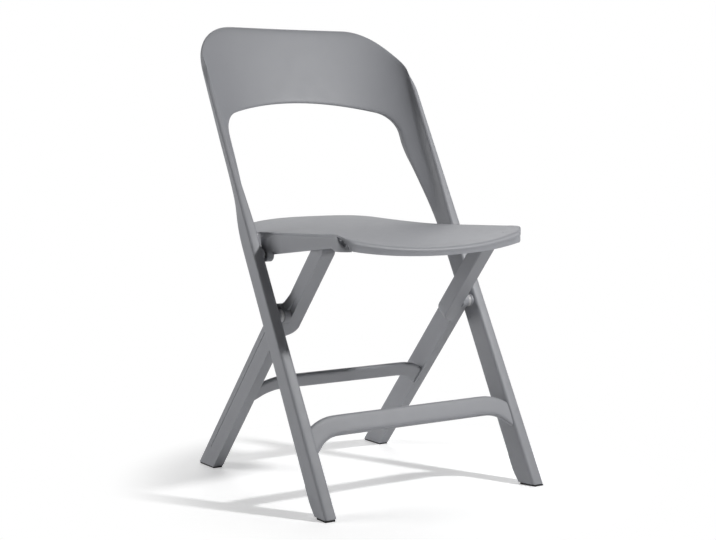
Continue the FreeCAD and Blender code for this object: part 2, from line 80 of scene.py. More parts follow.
# Heights of the leg's sections above those
LEG_LEVELS = (14, 22, 36, 44, 46, 49, 51, 60, 110, 180, 250, 320, 390)
LEG_GROWTH_TOP = 330.0           # below this height the leg grows towards the foot
LEG_GROWTH_RUN = 300.0           # and it is fully grown this far below it
LEG_GROWTH_DEPTH = 4.0           # growth from front to rear
LEG_GROWTH_FRONT = 2.4           # growth of the front face's width
LEG_GROWTH_REAR = 0.8            # growth of the rear face's width
FOOT_STEP = 1.2                  # small step on the rear face above the foot
FOOT_STEP_TOP = 50.0             # height at which it begins
FOOT_STEP_RUN = 5.0              # and over what height
FOOT_TAPER = 5.0                 # how far the rear face draws in at the foot
FOOT_TAPER_TOP = 22.0            # height at which it begins to
FOOT_TAPER_RUN = 19.0            # and over what height
BOSS_FACE = 203.0                # inner face of the bosses on the pins
BOSS_ROOT = 214.0                # their root, inside the leg
BACK_BAND = 141.0                # top of the back down to the crown of the opening
BACK_CORNER = 105.0              # radius of the top corners
BACK_DIP = (88.0, 50.0)          # how far its middle lies behind its sides, at the neck and at the top
BACK_RIM = (13.0, 7.0)           # width of the side rims, at the neck and at the top
BACK_WALL = 10.0                 # thickness in the middle
OPENING_RISE = 26.0              # crown of the opening above its shoulders
OPENING_CORNER = 42.0            # radius of the opening's upper corners
NECK_WIDTH = 42.0                # from the side to the opening, where the legs join the shell
NECK_BELOW = 50.0                # the legs join the shell this far below the shoulders
OPENING_TOP = TOP - BACK_BAND
NECK = OPENING_TOP - OPENING_RISE - NECK_BELOW
RIM_POINTS = 3                   # points of a section on its narrow sides
FACE_POINTS = 9                  # and on its wide sides

# Common to all pieces
EDGE = 2.6                       # usual rounding of an edge
LAP = 0.3                        # round ends are set in by this from the faces beside them
HAIR = 0.01                      # too small to see
SAME_POINT = 0.001               # points nearer than this are one point
NEAR = 1.0                       # tells an edge that lies on a line from the others
CORNER_LIMIT = 0.3               # largest share of a side that one rounded corner takes
FACE_ON = 0.99                   # least part of a face's normal along a way for it to face that way
SQUARE_EDGE = 50                 # degrees that an edge turns, at least, to be rounded
ROUND_SEGMENTS = 48
BEND_SEGMENTS = 10
SMOOTH_ANGLE = math.radians(40)  # an edge that turns more than this is shaded sharp

# Rear legs and hinge arms, along and across the leg from where the legs' middle lines cross
REAR_OUTSIDE = 197.0             # outer face of the rear legs
REAR_INSIDE = 177.0              # inner face
REAR_FOOT = 444.0                # front edge of the rear feet behind that of the front feet
REAR_LEVEL = 55.0                # front to rear on a level plane
REAR_DEPTH = REAR_LEVEL * math.cos(REAR_LEAN)
CROSS_Z = (REAR_FOOT + REAR_LEVEL / 2 - LEG_DEPTH / 2) / (SLOPE + math.tan(REAR_LEAN))
CROSS = Vector((0, SLOPE * CROSS_Z + LEG_DEPTH / 2, CROSS_Z))
TONGUE_END = 16.0                # centre of the tongue's round end
HUB = 12.0                       # radius of the hubs and bosses on the pins
ARM_OUTSIDE = 183.5              # outer face of the arms
ARM_INSIDE = 156.5               # inner face
ARM_LEVEL = 38.0                 # front to rear on a level plane
ARM_DEPTH = ARM_LEVEL * math.cos(REAR_LEAN)
ARM_SEAM = 48.0                  # the arm's lower end
ARM_SLANT = 9.0                  # height of the slant at its lower end
ARM_BEND = 14.0                  # rounding at the top of the slant
ARM_OUTER_EDGE = 1.0             # rounding of its outer edges
SHOE_EDGE = 2.0                  # rounding of the rims of its round top
WEB_FRONT = -10.0                # front face of the web, across the leg
WEB_DEPTH = 17.7                 # front to rear
WEB_EDGE = 1.5                   # rounding of its edges
# The web's hollow curve: outwards from the arm, and down the leg from the crossing
WEB_CURVE = ((-0.5, -46.0), (1.6, -25.0), (5.0, -11.0), (9.5, -3.0))
WEB_HUB = (1.0, 14.0)            # ends of its outer side
WEB_INSET = 0.4                  # that side inside the leg's outer face
REAR_DOWN = Vector((0, math.sin(REAR_LEAN), -math.cos(REAR_LEAN)))
REAR_BACK = Vector((0, math.cos(REAR_LEAN), math.sin(REAR_LEAN)))
REAR_TO_CHAIR = Matrix.Translation(CROSS) @ Matrix((
    (1, 0, 0, 0),
    (0, REAR_DOWN.y, REAR_BACK.y, 0),
    (0, REAR_DOWN.z, REAR_BACK.z, 0),
    (0, 0, 0, 1),
))
PANEL_EDGE = 11.0                # strip at the rear edge of the rear legs' outer faces
PANEL_GROOVE = 1.2               # width of the groove beside it
PANEL_GROOVE_DEPTH = 0.8
PANEL_FOOT = 34.0                # height of the groove's lower end

# Stretchers
BAND_THICK = 10.0
BAND_BEND = 75.0                 # radius of the downward bends at the ends, on the middle line
BAND_TURN = math.radians(46)     # how far they turn
BAND_SOCKET = 8.0                # how far the ends run into the legs
BAND_SET_BACK = 2.5              # behind the legs' front faces
BAND_POINTS = (4, 2, 4, 2)       # points on each side of the section
FRONT_BAND_HEIGHT = 36.0
FRONT_BAND_LEVEL = 141.0         # height of its middle, on the legs' front faces
REAR_BAND_HEIGHT = 33.0
REAR_BAND_LEVEL = 172.0          # height of its middle, on the legs' front faces

# Seat
SEAT_HEIGHT = 454.0              # floor to about the middle of the seat
SEAT_FRONT = 12.0                # front corners behind the front feet's front edge
SEAT_LENGTH = 374.0              # front corners to rear corners
SEAT_HALF = 189.5                # half the width
SEAT_WIDE = 194.0                # half width at which the side line is set
SEAT_NARROW = 0.7                # how far the sides draw in near the front
SEAT_NARROW_REAR = 110.0         # where they begin to
SEAT_NARROW_RUN = 40.0           # and over what length
SEAT_FRONT_BOW = 19.8            # how far the middle of the front edge stands forward
SEAT_REAR_BOW = 14.0             # how far the middle of the rear edge stands back
SEAT_FRONT_ROUND = 20.0          # radius of the front corners in plan
SEAT_REAR_ROUND = 58.0           # radius of the rear corners in plan
SEAT_FULLNESS = (2.0, 1.3)       # power of the cross line at the front, and its growth to the rear
SEAT_GRID = (44, 50)             # faces across the panel and along it
SEAT_SHELL = 6.0                 # usual thickness
SEAT_EDGE = 0.9                  # rounding of the edges
SIDE_STRIP = 9.0                 # width of the thinner strip at the sides
SIDE_THINNER = 3.2               # how much thinner it is
SEAT_LIP = 14.2                  # thickness of the front lip in its middle
SEAT_LIP_DEEPER = 4.5            # how much thicker it is at the sides
LIP_REACH = 16.0                 # the lip's length from front to rear
LIP_END = 10.0                   # its ends inside the seat's sides
LIP_FADE = 6.0                   # length over which one thickness turns into another
LIP_FACE = 1.6                   # least height of the edge's face
SEAT_ROLL = 7.0                  # radius of the lip's upper edge
SEAT_ROLL_SHARE = 0.2            # share of the panel's rows that lie on it

# What hangs under the seat
SEAT_PAD = 445.0                 # height of the lower faces of the pads over the arms
PAD_HALF = 23.0                  # half their length
PAD_THICK = 7.0
BLOCK_EDGE = 1.0                 # rounding of pads and gussets
RIB_WALL = 4.0                   # thickness of the ribs
RIB_ROOT = 4.0                   # their top below the seat's upper face
RIB_FOOT = 15.0                  # and their foot
RIB_HALF = 152.0                 # half the length of the cross ribs
RIB_MARGIN = 26.0                # the long ribs end this far inside the outline
OUTER_RIB_MARGIN = 38.0          # and the outermost ones this far
CROSS_RIBS = 4
CROSS_RIB_PITCH = 78.0
LONG_RIBS_ASIDE = 2              # long ribs on each side of the middle one
LONG_RIB_PITCH = 75.0
# Corners of the block behind the recess, on the left
GUSSET = ((150.0, 25.0, 436.0), (178.0, 33.0, 452.0))
WALL_INSET = 0.9                 # side walls inside the seat's edge
WALL_THICK = 4.5
WALL_TOP = 2.4                   # their top below the seat's upper face
WALL_START = 8.0                 # where the line of their lower edge begins
WALL_NOSE = 2.5                  # that line's start below the pads
WALL_POINTS = (6, 2, 6, 2)       # points on each side of the section
WALL_TURN = math.radians(88)     # how far the walls go round the front corners
WALL_REAR = 38.0                 # their rear end behind the pivot
WALL_REAR_RISE = 18.0            # rise of the lower edge behind the lugs
WALL_REAR_RUN = 26.0             # and over what length
CORNER_DROP = 12.0               # lower edge at the front corners, below the pads
CORNER_REAR = 48.0               # where the edge begins to turn to it
CORNER_RUN = 10.0                # and over what length
RECESS = 12.0                    # depth of the recess over the walls at the front corners
RECESS_REAR = 34.0               # where it begins
RECESS_REAR_RUN = 14.0           # and over what length
RECESS_FRONT = 17.0              # where it begins to close again
RECESS_FRONT_RUN = 4.0           # and over what length
SEAT_FACE = SEAT_HALF - WALL_INSET
LUG_INSIDE = 185.0               # inner face of the pivot lugs
LUG = 13.0                       # their radius
EAR = 198.5                      # outer face of the ears
EAR_RISE = 4.5                   # foot of the ears above the pivot
EAR_HEIGHT = 31.5
EAR_EDGE = 0.8                   # rounding of their edges
# The ears' hollow front: outwards from the wall's face, and back from the pivot
EAR_CURVE = ((-0.2, -48.0), (0.9, -34.0), (2.8, -24.0), (5.8, -16.0))
EAR_ROOT = -3.0                  # their root, outwards from the wall's face
EAR_FLAT = (-11.0, 10.0)         # ends of their flat outer face, back from the pivot
EAR_REAR = 14.0                  # rear end of their root, back from the pivot
EAR_CUT = 1.0                    # start of their slanted top, outwards from the wall's face

# The seat's lines: share of its length, height of its side and of its middle over the seat's height
SEAT_LINES = (
    (-0.065, -3.0, -18.6),
    (0.0, 3.3, -18.0),
    (0.05, 7.7, -16.8),
    (0.16, 5.8, -11.6),
    (0.30, 3.2, -6.0),
    (0.50, -0.4, -1.0),
    (0.77, -5.3, 6.5),
    (1.05, -10.0, 11.5),
)
SIDE_COLUMN = 1
MIDDLE_COLUMN = 2

# Finishes: scales per metre, and strengths
CLOUDS = 7.0
PATCHES = 60.0
FLECKS = 420.0
ETCHING = 1500.0
ETCHING_DEPTH = 0.0004           # in metres
ROUGH_SPREAD = 0.12              # how much the roughness varies
WEAR_AND_HIGHLIGHT_PALER = 1.22                # brightness of edges painted paler: wear, and a painted highlight
WEAR_POLISH = 0.1                # how much smoother they are
WEAR_AND_HIGHLIGHT_START = 0.51                # sharpness of an edge at which the wear and painted highlight begin
WEAR_AND_HIGHLIGHT_FULL = 0.58                 # and at which it is full
LEAST_WEAR_AND_HIGHLIGHT = 0.2                 # wear and painted highlight in the darkest clouds
CLOUD_SHARE = 0.75               # clouds against flecks in the colour
ETCHING_SHARE = 0.7              # etching against flecks in the grain
RINGS = 900.0
RING_STRENGTH = 0.15
RING_DEPTH = 0.0002              # in metres
RING_ROUGH = 0.14
STEEL_ROUGH = 0.28
TARNISH = 90.0
TARNISH_DARK = 0.85
TARNISH_BRIGHT = 1.1
DUST = 35.0
DUST_CONTRAST = 3.0
DUST_PALER = 2.6
DUST_ROUGH = 0.15
RUBBER_ROUGH = 0.75
RUBBER_GRAIN = 900.0
RUBBER_GRAIN_STRENGTH = 0.25
RUBBER_GRAIN_DEPTH = 0.0005      # in metres

# Studio, in metres and watts
WHITE = (1.0, 1.0, 1.0, 1.0)
GLOSS_SHARE = 0.35               # share of the white surroundings that shows in gloss
SKY_DIM = 0.03                   # strength of the even light
FLOOR_HALF = 40.0
FLOOR_PAINT = 0.97
FLOOR_GLOW = 0.33                # light added to the floor as it is seen
SHADOW_MIDDLE = (0.03, -0.03, 0.0)  # where the shadow's fading is measured from
SHADOW_FADE = (0.33, 0.5)        # distances over which the floor turns white
LAMP_AIM = (0.0, 0.0, 0.4)       # what the lamps point at
# Name, direction, distance, size and power of each lamp
LAMPS = (
    ("key_lamp", (0.480, -0.634, 0.606), 2.14, 0.14, 33.0),
    ("top_lamp", (0.42, 0.6, 0.68), 4.0, 2.5, 46.0),
    ("side_lamp", (-0.85, 0.45, 0.28), 3.0, 1.5, 38.0),
)
LENS = 75.42
SENSOR = 36.0
CAMERA_PLACE = (-1.4880, -2.2391, 0.6411)
CAMERA_WAY = (0.5506, 0.829, -0.0983)


# Shader maths


def feed(tree, socket, item):
    """Links a value to a socket, or sets the socket to a plain number or colour."""
    if isinstance(item, Value):
        tree.links.new(item.socket, socket)
    else:
        socket.default_value = item


class Value:
    """A shader socket that takes part in sums as a number does."""

    def __init__(self, tree, socket):
        self.tree = tree
        self.socket = socket

    def sum(self, operation, first, second):
        made = self.tree.nodes.new("ShaderNodeMath")
        made.operation = operation
        feed(self.tree, made.inputs[0], first)
        feed(self.tree, made.inputs[1], second)
        return Value(self.tree, made.outputs[0])

    def __add__(self, other):
        return self.sum("ADD", self, other)

    def __radd__(self, other):
        return self.sum("ADD", other, self)

    def __sub__(self, other):
        return self.sum("SUBTRACT", self, other)

    def __mul__(self, other):
        return self.sum("MULTIPLY", self, other)

    def __rmul__(self, other):
        return self.sum("MULTIPLY", other, self)

    def __pow__(self, other):
        return self.sum("POWER", self, other)


class Finish:
    """The nodes of one material, or of the studio's backdrop."""

    def __init__(self, holder):
        self.holder = holder
        self.holder.use_nodes = True
        self.tree = self.holder.node_tree
        self.tree.nodes.clear()

    def node(self, kind, settings, sockets, output=0):
        """Adds a node: its settings first, then the values or links of its sockets."""
        made = self.tree.nodes.new("ShaderNode" + kind)
        for name, value in settings.items():
            setattr(made, name, value)
        for name, item in sockets.items():
            feed(self.tree, made.inputs[name], item)
        return None if output is None else Value(self.tree, made.outputs[output])

    def place(self):
        return self.node("TexCoord", {}, {}, "Object")

    def noise(self, scale, detail=2.0):
        sockets = {"Vector": self.place(), "Scale": scale, "Detail": detail}
        return self.node("TexNoise", {}, sockets)

    def blend(self, share, first, second):
        """Mixes two colours, which the Mix node keeps in sockets 6 and 7 and in output 2."""
        sockets = {0: share, 6: first, 7: second}
        return self.node("Mix", {"data_type": "RGBA"}, sockets, 2)

    def bump(self, height, strength, distance):
        sockets = {"Height": height, "Strength": strength, "Distance": distance}
        return self.node("Bump", {}, sockets)

    def edges(self):
        """1 along outer edges, which handling polishes and a painted highlight brightens, and 0 on flat
        faces.
        """
        sharpness = self.node("NewGeometry", {}, {}, "Pointiness")
        return self.node("MapRange", {"interpolation_type": "SMOOTHSTEP"}, {
            "Value": sharpness, "From Min": WEAR_AND_HIGHLIGHT_START, "From Max": WEAR_AND_HIGHLIGHT_FULL, "To Min": 0.0, "To Max": 1.0,
        })

    def seen(self):
        """1 for what the camera sees, straight or through something clear, and less in reflections."""
        kinds = ("Is Camera Ray", "Is Transmission Ray", "Is Glossy Ray")
        straight_on, through, gloss = (self.node("LightPath", {}, {}, kind) for kind in kinds)
        return straight_on + through + GLOSS_SHARE * gloss

    def surface(self, shader, kind="OutputMaterial"):
        self.node(kind, {}, {"Surface": shader}, None)
        return self.holder


def material(name):
    return Finish(bpy.data.materials.new(name))


def shade(colour, amount):
    return tuple(channel * amount for channel in colour) + (1.0,)


def moulded(name, colour, grain, rough, mottle=0.05):
    """Moulded plastic: faint flow clouds, a fine etched grain, and edges painted paler by wear and by a
    painted highlight.
    """
    finish = material(name)
    clouds = finish.noise(CLOUDS, 4.0)
    flecks = finish.noise(FLECKS, 2.0)
    tone = clouds * CLOUD_SHARE + flecks * (1 - CLOUD_SHARE)
    etched = finish.noise(ETCHING, 1.0) * ETCHING_SHARE + flecks * (1 - ETCHING_SHARE)
    edge_wear_and_highlight = finish.edges() * (LEAST_WEAR_AND_HIGHLIGHT + (1 - LEAST_WEAR_AND_HIGHLIGHT) * clouds)
    plain = finish.blend(tone, shade(colour, 1 - mottle), shade(colour, 1 + mottle))
    patches = ROUGH_SPREAD * finish.noise(PATCHES, 3.0)
    return finish.surface(finish.node("BsdfPrincipled", {}, {
        # Edges painted paler: light wear, and a painted highlight along them
        "Base Color": finish.blend(edge_wear_and_highlight, plain, shade(colour, WEAR_AND_HIGHLIGHT_PALER)),
        "Roughness": rough - ROUGH_SPREAD / 2 + patches - WEAR_POLISH * edge_wear_and_highlight,
        "Normal": finish.bump(etched, grain, ETCHING_DEPTH),
        "Specular IOR Level": 0.5,
    }))


def turned_steel(name, colour):
    """Steel with the fine rings that turning leaves."""
    finish = material(name)
    rings = finish.node("TexWave", {"wave_type": "BANDS", "bands_direction": "X"}, {
        "Vector": finish.place(), "Scale": RINGS, "Distortion": 1.5, "Detail": 2.0,
    })
    return finish.surface(finish.node("BsdfPrincipled", {}, {
        "Base Color": finish.blend(
            finish.noise(TARNISH), shade(colour, TARNISH_DARK), shade(colour, TARNISH_BRIGHT),
        ),
        "Metallic": 1.0,
        "Roughness": STEEL_ROUGH + RING_ROUGH * rings,
        "Normal": finish.bump(rings, RING_STRENGTH, RING_DEPTH),
    }))


def rubber(name, colour):
    """Dark sole rubber, dusty in patches."""
    finish = material(name)
    dust = finish.noise(DUST, 4.0) ** DUST_CONTRAST
    return finish.surface(finish.node("BsdfPrincipled", {}, {
        "Base Color": finish.blend(dust, shade(colour, 1.0), shade(colour, DUST_PALER)),
        "Roughness": RUBBER_ROUGH + DUST_ROUGH * dust,
        "Normal": finish.bump(
            finish.noise(RUBBER_GRAIN), RUBBER_GRAIN_STRENGTH, RUBBER_GRAIN_DEPTH,
        ),
    }))


FINISHES = {
    "grey_plastic": moulded("grey_plastic", (0.298, 0.304, 0.326), grain=0.16, rough=0.5),
    "pale_plastic": moulded("pale_plastic", (0.44, 0.44, 0.45), grain=0.08, rough=0.42, mottle=0.03),
    "dark_plastic": moulded("dark_plastic", (0.035, 0.035, 0.037), grain=0.1, rough=0.5),
    "sole_rubber": rubber("sole_rubber", (0.022, 0.022, 0.023)),
    "pin_steel": turned_steel("pin_steel", (0.6, 0.6, 0.61)),
}


# Making pieces


def piece(name, bm, body, slot="grey_plastic", replaced=(), levels=0):
    """Sets a drawn mesh into the frame as a smooth piece that moves with a body."""
    bmesh.ops.transform(bm, matrix=TO_FRAME, verts=bm.verts)
    bmesh.ops.recalc_face_normals(bm, faces=bm.faces)
    mesh = bpy.data.meshes.new(name)
    bm.to_mesh(mesh)
    bm.free()
    mesh.shade_smooth()
    mesh.materials.append(FINISHES[slot])
    made = bpy.data.objects.new(name, mesh)
    bpy.context.scene.collection.objects.link(made)
    if levels:
        rounding = made.modifiers.new("rounding", "SUBSURF")
        rounding.levels = levels
        rounding.render_levels = levels
    else:
        mesh.set_sharp_from_angle(angle=SMOOTH_ANGLE)
        flat = made.modifiers.new("flat_faces", "WEIGHTED_NORMAL")
        flat.keep_sharp = True
    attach(made, body)
    if replaced:
        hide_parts(*replaced)
    return made


def mirrored(bm):
    """Adds the other half of a half drawn on the left side."""
    bmesh.ops.mirror(bm, geom=bm.verts[:] + bm.edges[:] + bm.faces[:], axis="X", merge_dist=HAIR)
    return bm


def pair(name, draw, body, nodes, **kinds):
    """A piece for the left side and its mirror image."""
    for side, way in (("left", 1), ("right", -1)):
        bm = draw()
        bmesh.ops.scale(bm, vec=(way, 1, 1), verts=bm.verts)
        piece(f"{name}_{side}", bm, body, replaced=[f"{node}_{side}" for node in nodes], **kinds)


def straight(start, end):
    return lambda share: start.lerp(end, share)


def section(sides):
    """Points round a closed section, kept off its corners so that these come out rounded."""
    points = []
    for curve, count in sides:
        margin = min(EDGE / (curve(1) - curve(0)).length, CORNER_LIMIT)
        step = (1 - 2 * margin) / (count - 1)
        points += [curve(margin + step * k) for k in range(count)]
    return points


def corners_section(corners, counts):
    following = corners[1:] + corners[:1]
    return section([(straight(a, b), count) for a, b, count in zip(corners, following, counts)])


def rolled(loops):
    """A grid rolled into a sleeve through loops of points."""
    bm = bmesh.new()
    rows = len(loops) - 1
    columns = len(loops[0])
    made = bmesh.ops.create_grid(bm, x_segments=columns, y_segments=rows, size=0.5)
    for vert in made["verts"]:
        column = round((vert.co.x + 0.5) * columns) % columns
        vert.co = loops[round((vert.co.y + 0.5) * rows)][column]
    bmesh.ops.remove_doubles(bm, verts=bm.verts, dist=SAME_POINT)
    return bm


def closed(bm):
    """Closes the open ends of a sleeve."""
    ends = [e for e in bm.edges if e.is_boundary]
    bmesh.ops.holes_fill(bm, edges=ends, sides=0)
    return bm


def rounded(bm, edges, offset, segments=3):
    bmesh.ops.bevel(
        bm, geom=edges, offset=offset, offset_type="OFFSET", affect="EDGES",
        segments=segments, profile=0.5, material=-1, clamp_overlap=True,
    )


def sharp_edges(bm, degrees=40):
    limit = math.radians(degrees)
    return [e for e in bm.edges if len(e.link_faces) == 2 and e.calc_face_angle() > limit]


def slab(points, thickness, bends=()):
    """A flat outline thickened along its normal; bends are (corner number, size) to round first."""
    bm = bmesh.new()
    corners = [bm.verts.new(p) for p in points]
    bm.faces.new(corners)
    for number, size in bends:
        bmesh.ops.bevel(
            bm, geom=[corners[number]], offset=size, offset_type="OFFSET", affect="VERTICES",
            segments=BEND_SEGMENTS, profile=0.5, material=-1, clamp_overlap=False,
        )
    made = bmesh.ops.extrude_face_region(bm, geom=bm.faces[:])
    moved = [v for v in made["geom"] if isinstance(v, bmesh.types.BMVert)]
    bmesh.ops.translate(bm, vec=thickness, verts=moved)
    bmesh.ops.recalc_face_normals(bm, faces=bm.faces)
    return bm


def added(bm, other):
    """Puts another drawn mesh into this one."""
    spare = bpy.data.meshes.new("spare")
    other.to_mesh(spare)
    other.free()
    bm.from_mesh(spare)
    bpy.data.meshes.remove(spare)
    return bm


def disc(radius, x0, x1, y, z, rim=1.2):
    """A round boss along X with a softened rim."""
    bm = bmesh.new()
    turned = Matrix.Translation(((x0 + x1) / 2, y, z)) @ Matrix.Rotation(math.pi / 2, 4, "Y")
    bmesh.ops.create_cone(
        bm, cap_ends=True, segments=ROUND_SEGMENTS, radius1=radius, radius2=radius, depth=x1 - x0,
        matrix=turned,
    )
    rounded(bm, sharp_edges(bm), rim)
    return bm


# Back frame: one sweep from each foot up the leg and round to the middle of the back


def front_line(z):
    return SLOPE * z


def eased(share):
    share = max(0.0, min(1.0, share))
    return share * share * (3 - 2 * share)


def up_the_back(pair_of_values, z):
    low, high = pair_of_values
    return low + (high - low) * (z - NECK) / (TOP - NECK)


def run(start, end):
    start, end = Vector(start), Vector(end)
    return (end - start).length, straight(start, end)


def turn(centre, radius, start, end):
    """An arc of a circle, from start to end in radians."""
    def at(share):
        angle = start + (end - start) * share
        return Vector((centre[0] + radius * math.cos(angle), centre[1] + radius * math.sin(angle)))
    return radius * abs(end - start), at


def along(path, share):
    """The point on a path of runs and turns at a share of its length."""
    left = share * sum(length for length, _ in path)
    for length, at in path[:-1]:
        if left <= length:
            return at(left / length)
        left -= length
    length, at = path[-1]
    return at(left / length)


def outer_outline():
    corner = (HALF - BACK_CORNER, TOP - BACK_CORNER)
    return [
        run((HALF, NECK), (HALF, corner[1])),
        turn(corner, BACK_CORNER, 0, math.pi / 2),
        run((corner[0], TOP), (0, TOP)),
    ]


def opening_outline():
    inside = HALF - NECK_WIDTH
    arch = (inside ** 2 + OPENING_RISE ** 2) / (2 * OPENING_RISE)
    arch_centre = (0, OPENING_TOP - arch)
    across = inside - OPENING_CORNER
    tilt = math.asin(across / (arch - OPENING_CORNER))
    corner = (across, arch_centre[1] + (arch - OPENING_CORNER) * math.cos(tilt))
    return [
        run((inside, NECK), (inside, corner[1])),
        turn(corner, OPENING_CORNER, 0, math.pi / 2 - tilt),
        turn(arch_centre, arch, math.pi / 2 - tilt, math.pi / 2),
    ]


OUTER = outer_outline()
OPENING = opening_outline()


def shell_curve(start, end, half_at, depth_at):
    """A line on one face of the back, from one (x, z) to another, round its ellipse."""
    angles = [math.asin(min(1.0, x / half_at(z))) for x, z in (start, end)]

    def at(share):
        z = start[1] + (end[1] - start[1]) * share
        angle = angles[0] + (angles[1] - angles[0]) * share
        y = front_line(z) + depth_at(z) * math.cos(angle)
        return Vector((half_at(z) * math.sin(angle), y, z))
    return at


def back_loop(share):
    """The section of the back across its band, from the outline to the opening."""
    outside = along(OUTER, share)
    inside = along(OPENING, share)
    front = shell_curve(
        outside, inside, lambda z: HALF - up_the_back(BACK_RIM, z), lambda z: up_the_back(BACK_DIP, z),
    )
    rear = shell_curve(
        inside, outside, lambda z: HALF, lambda z: up_the_back(BACK_DIP, z) + BACK_WALL,
    )
    return section([
        (straight(rear(1), front(0)), RIM_POINTS),
        (front, FACE_POINTS),
        (straight(front(1), rear(0)), RIM_POINTS),
        (rear, FACE_POINTS),
    ])


def leg_loop(z):
    """The straight leg's section, cut level. It grows downwards, and has a step and a taper at the foot."""
    y = front_line(z)
    growth = eased((LEG_GROWTH_TOP - z) / LEG_GROWTH_RUN)
    step = FOOT_STEP * eased((FOOT_STEP_TOP - z) / FOOT_STEP_RUN)
    taper = FOOT_TAPER * eased((FOOT_TAPER_TOP - z) / FOOT_TAPER_RUN)
    depth = LEG_DEPTH + LEG_GROWTH_DEPTH * growth + step - taper
    corners = [
        Vector((HALF, y, z)),
        Vector((HALF - LEG_FRONT - LEG_GROWTH_FRONT * growth, y, z)),
        Vector((HALF - LEG_REAR - LEG_GROWTH_REAR * growth, y + depth, z)),
        Vector((HALF, y + depth, z)),
    ]
    return corners_section(corners, (RIM_POINTS, FACE_POINTS, RIM_POINTS, FACE_POINTS))


def neck_loop(z):
    """The section between the straight leg and the back."""
    share = eased((z - LEG_STRAIGHT) / (NECK - LEG_STRAIGHT))
    rise = z - NECK
    rim = [p + Vector((0, SLOPE * rise, rise)) for p in back_loop(0)]
    return [a.lerp(b, share) for a, b in zip(leg_loop(z), rim)]


def back_frame():
    loops = [leg_loop(SOLE + rise) for rise in SOLE_RISES]
    loops += [leg_loop(z) for z in LEG_LEVELS]
    steps = 9
    loops += [neck_loop(LEG_STRAIGHT + (NECK - LEG_STRAIGHT) * k / steps) for k in range(steps)]
    turns = 30
    loops += [back_loop(k / turns) for k in range(turns + 1)]
    bm = mirrored(rolled(loops))
    return closed(bm)


def leg_bosses():
    bm = bmesh.new()
    for at in (CROSS_PIN, SEAT_PIVOT):
        added(bm, disc(HUB, BOSS_FACE, BOSS_ROOT, at.y, at.z))
    return mirrored(bm)


# Stretchers


def band(leg_inside, height, level, lean, front_y):
    """A flat band between two legs whose ends bend down into them."""
    rise = Vector((0, math.sin(lean), math.cos(lean)))
    back = Vector((0, math.cos(lean), -math.sin(lean)))
    middle = Vector((0, front_y, 0)) + rise * (level / rise.z) + back * (BAND_SET_BACK + BAND_THICK / 2)
    straight_half = leg_inside - BAND_BEND * math.sin(BAND_TURN)

    def corners(x, drop, angle):
        at = middle + Vector((x, 0, 0)) - rise * drop
        up = Vector((math.sin(angle), 0, 0)) + rise * math.cos(angle)
        return [
            at + up * (a * height / 2) + back * (b * BAND_THICK / 2)
            for a, b in ((1, -1), (-1, -1), (-1, 1), (1, 1))
        ]

    def cut_in_leg(section_corners, angle):
        """Runs a section on along the band to an upright plane inside the leg."""
        onward = Vector((math.cos(angle), 0, 0)) - rise * math.sin(angle)
        return [c + onward * ((leg_inside + BAND_SOCKET - c.x) / onward.x) for c in section_corners]

    runs = 4
    stops = [(straight_half * k / runs, 0, 0) for k in range(runs + 1)]
    bends = 8
    for k in range(1, bends + 1):
        angle = BAND_TURN * k / bends
        x = straight_half + BAND_BEND * math.sin(angle)
        stops.append((x, BAND_BEND * (1 - math.cos(angle)), angle))
    sections = [corners(*stop) for stop in stops[:-1]]
    sections.append(cut_in_leg(corners(*stops[-1]), BAND_TURN))
    return closed(mirrored(rolled([corners_section(s, BAND_POINTS) for s in sections])))


# Rear legs and hinge arms


def drawn_out(bm, faces, way):
    """Moves faces along a way and walls in the gap that they leave."""
    made = bmesh.ops.extrude_face_region(bm, geom=faces)
    bmesh.ops.delete(bm, geom=faces, context="FACES")
    moved = [v for v in made["geom"] if isinstance(v, bmesh.types.BMVert)]
    bmesh.ops.translate(bm, vec=way, verts=moved)


def split(bm, faces, at, way):
    """Cuts faces along a plane and gives back what lies on both sides."""
    geom = list(faces) + [e for f in faces for e in f.edges] + [v for f in faces for v in f.verts]
    made = bmesh.ops.bisect_plane(bm, geom=list(dict.fromkeys(geom)), plane_co=at, plane_no=way)
    return [g for g in made["geom"] if isinstance(g, bmesh.types.BMFace)]


def facing(bm, way, below):
    """The faces below a line across the leg that face outwards or inwards."""
    return [f for f in bm.faces if f.normal.x * way > FACE_ON and f.calc_center_median().y > below]


def on_lap(edge):
    """Whether an edge lies where the leg's tongue meets the arm."""
    return all(abs(v.co.x - ARM_OUTSIDE) < HAIR for v in edge.verts)


